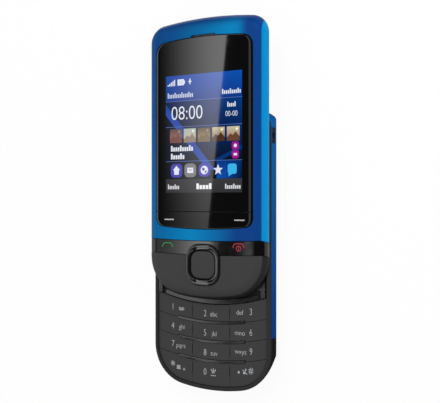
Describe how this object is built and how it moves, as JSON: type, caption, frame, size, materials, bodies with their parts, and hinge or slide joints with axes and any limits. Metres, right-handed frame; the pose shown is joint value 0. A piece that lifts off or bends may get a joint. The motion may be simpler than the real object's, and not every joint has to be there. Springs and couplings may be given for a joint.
{
  "type": "slider phone",
  "caption": "Slider phone, open: a display half with window, soft keys and four-way ring slides over a curved keypad half.",
  "frame": {"origin": "middle of the open phone's box, on the flat back it lies on", "axes": "+Y towards the earpiece end, +X to the right seen from the front, +Z out of the display"},
  "size_m": [0.0476, 0.1317, 0.0174],
  "materials": {
    "blue_paint": "satin pearl blue",
    "window_black": "polished black window",
    "gloss_black": "glossy black",
    "soft_grey": "matte dark grey",
    "key_grey": "matte dark grey keys",
    "steel": "stamped steel",
    "rail_steel": "drawn steel",
    "board_green": "solder mask",
    "film": "polyimide film",
    "inner_plastic": "moulded black plastic",
    "battery_wrap": "printed wrap, left plain",
    "gold": "plated contacts",
    "lens_glass": "tinted lens window",
    "lcd_glass": "lit display",
    "white_plastic": "light guide and reflector"
  },
  "bodies": {
    "base": {"battery_cover": "blue_paint", "rear_end_cap": "soft_grey", "keypad_housing": "soft_grey", "keypad_ridges": "gloss_black", "keypad_top_trim": "gloss_black", "slide_base_plate": "steel", "slide_rails": "rail_steel", "slide_springs": "rail_steel", "flex_cable": "film", "main_board": "board_green", "keypad_dome_sheet": "film", "rear_chassis": "inner_plastic", "battery": "battery_wrap", "battery_contacts": "gold", "shield_cans": "steel", "sim_holder": "steel", "memory_card_holder": "steel", "audio_jack": "inner_plastic", "micro_usb_socket": "steel", "charger_jack": "inner_plastic", "camera_module": "inner_plastic", "camera_lens": "lens_glass", "loudspeaker": "inner_plastic", "vibration_motor": "steel", "antenna_carrier": "inner_plastic", "microphone": "inner_plastic", "lower_screws": "steel"},
    "display": {"display_frame": "blue_paint", "call_strip_ends": "gloss_black", "chin_cover": "soft_grey", "display_window": "window_black", "earpiece_mesh": "steel", "upper_back_cover": "soft_grey", "upper_screws": "steel", "slide_plate": "steel", "ui_board": "board_green", "ui_dome_sheet": "film", "backlight_unit": "white_plastic", "lcd_panel": "lcd_glass", "earpiece": "steel"},
    "soft_keys": {"soft_key_bar": "window_black"},
    "call_keys": {"call_key_bar": "gloss_black"},
    "navi_tilt": {"navi_carrier": "inner_plastic"},
    "navi_rock": {"navi_ring": "gloss_black"},
    "select": {"select_key": "soft_grey"},
    "key_1": {"key_1": "key_grey"},
    "key_2": {"key_2": "key_grey"},
    "key_3": {"key_3": "key_grey"},
    "key_4": {"key_4": "key_grey"},
    "key_5": {"key_5": "key_grey"},
    "key_6": {"key_6": "key_grey"},
    "key_7": {"key_7": "key_grey"},
    "key_8": {"key_8": "key_grey"},
    "key_9": {"key_9": "key_grey"},
    "key_star": {"key_star": "key_grey"},
    "key_0": {"key_0": "key_grey"},
    "key_hash": {"key_hash": "key_grey"}
  },
  "joints": [
    {"name": "slide", "type": "slide", "parent": "base", "child": "display", "axis": [0, 1, 0], "range_m": [-0.0324, 0]},
    {"name": "soft_key_rock", "type": "hinge", "parent": "display", "child": "soft_keys", "pos_m": [0, -0.00565, 0.0162], "axis": [0, 1, 0], "range_deg": [-0.9, 0.9], "stiffness_Nm_per_rad": 0.05},
    {"name": "call_key_rock", "type": "hinge", "parent": "display", "child": "call_keys", "pos_m": [0, -0.0152, 0.0162], "axis": [0, 1, 0], "range_deg": [-0.9, 0.9], "stiffness_Nm_per_rad": 0.05},
    {"name": "navi_up_down", "type": "hinge", "parent": "display", "child": "navi_tilt", "pos_m": [0, -0.02115, 0.0152], "axis": [1, 0, 0], "range_deg": [-1.2, 1.2], "stiffness_Nm_per_rad": 0.05},
    {"name": "navi_left_right", "type": "hinge", "parent": "navi_tilt", "child": "navi_rock", "pos_m": [0, -0.02115, 0.0155], "axis": [0, 1, 0], "range_deg": [-1.2, 1.2], "stiffness_Nm_per_rad": 0.05},
    {"name": "select_press", "type": "slide", "parent": "display", "child": "select", "axis": [0, 0, -1], "range_m": [0, 0.0003], "stiffness_N_per_m": 200},
    {"name": "key_1_press", "type": "slide", "parent": "base", "child": "key_1", "axis": [0, 0, -1], "range_m": [0, 0.0003], "stiffness_N_per_m": 200},
    {"name": "key_2_press", "type": "slide", "parent": "base", "child": "key_2", "axis": [0, 0, -1], "range_m": [0, 0.0003], "stiffness_N_per_m": 200},
    {"name": "key_3_press", "type": "slide", "parent": "base", "child": "key_3", "axis": [0, 0, -1], "range_m": [0, 0.0003], "stiffness_N_per_m": 200},
    {"name": "key_4_press", "type": "slide", "parent": "base", "child": "key_4", "axis": [0, 0, -1], "range_m": [0, 0.0003], "stiffness_N_per_m": 200},
    {"name": "key_5_press", "type": "slide", "parent": "base", "child": "key_5", "axis": [0, 0, -1], "range_m": [0, 0.0003], "stiffness_N_per_m": 200},
    {"name": "key_6_press", "type": "slide", "parent": "base", "child": "key_6", "axis": [0, 0, -1], "range_m": [0, 0.0003], "stiffness_N_per_m": 200},
    {"name": "key_7_press", "type": "slide", "parent": "base", "child": "key_7", "axis": [0, 0, -1], "range_m": [0, 0.0003], "stiffness_N_per_m": 200},
    {"name": "key_8_press", "type": "slide", "parent": "base", "child": "key_8", "axis": [0, 0, -1], "range_m": [0, 0.0003], "stiffness_N_per_m": 200},
    {"name": "key_9_press", "type": "slide", "parent": "base", "child": "key_9", "axis": [0, 0, -1], "range_m": [0, 0.0003], "stiffness_N_per_m": 200},
    {"name": "key_star_press", "type": "slide", "parent": "base", "child": "key_star", "axis": [0, 0, -1], "range_m": [0, 0.0003], "stiffness_N_per_m": 200},
    {"name": "key_0_press", "type": "slide", "parent": "base", "child": "key_0", "axis": [0, 0, -1], "range_m": [0, 0.0003], "stiffness_N_per_m": 200},
    {"name": "key_hash_press", "type": "slide", "parent": "base", "child": "key_hash", "axis": [0, 0, -1], "range_m": [0, 0.0003], "stiffness_N_per_m": 200}
  ]
}
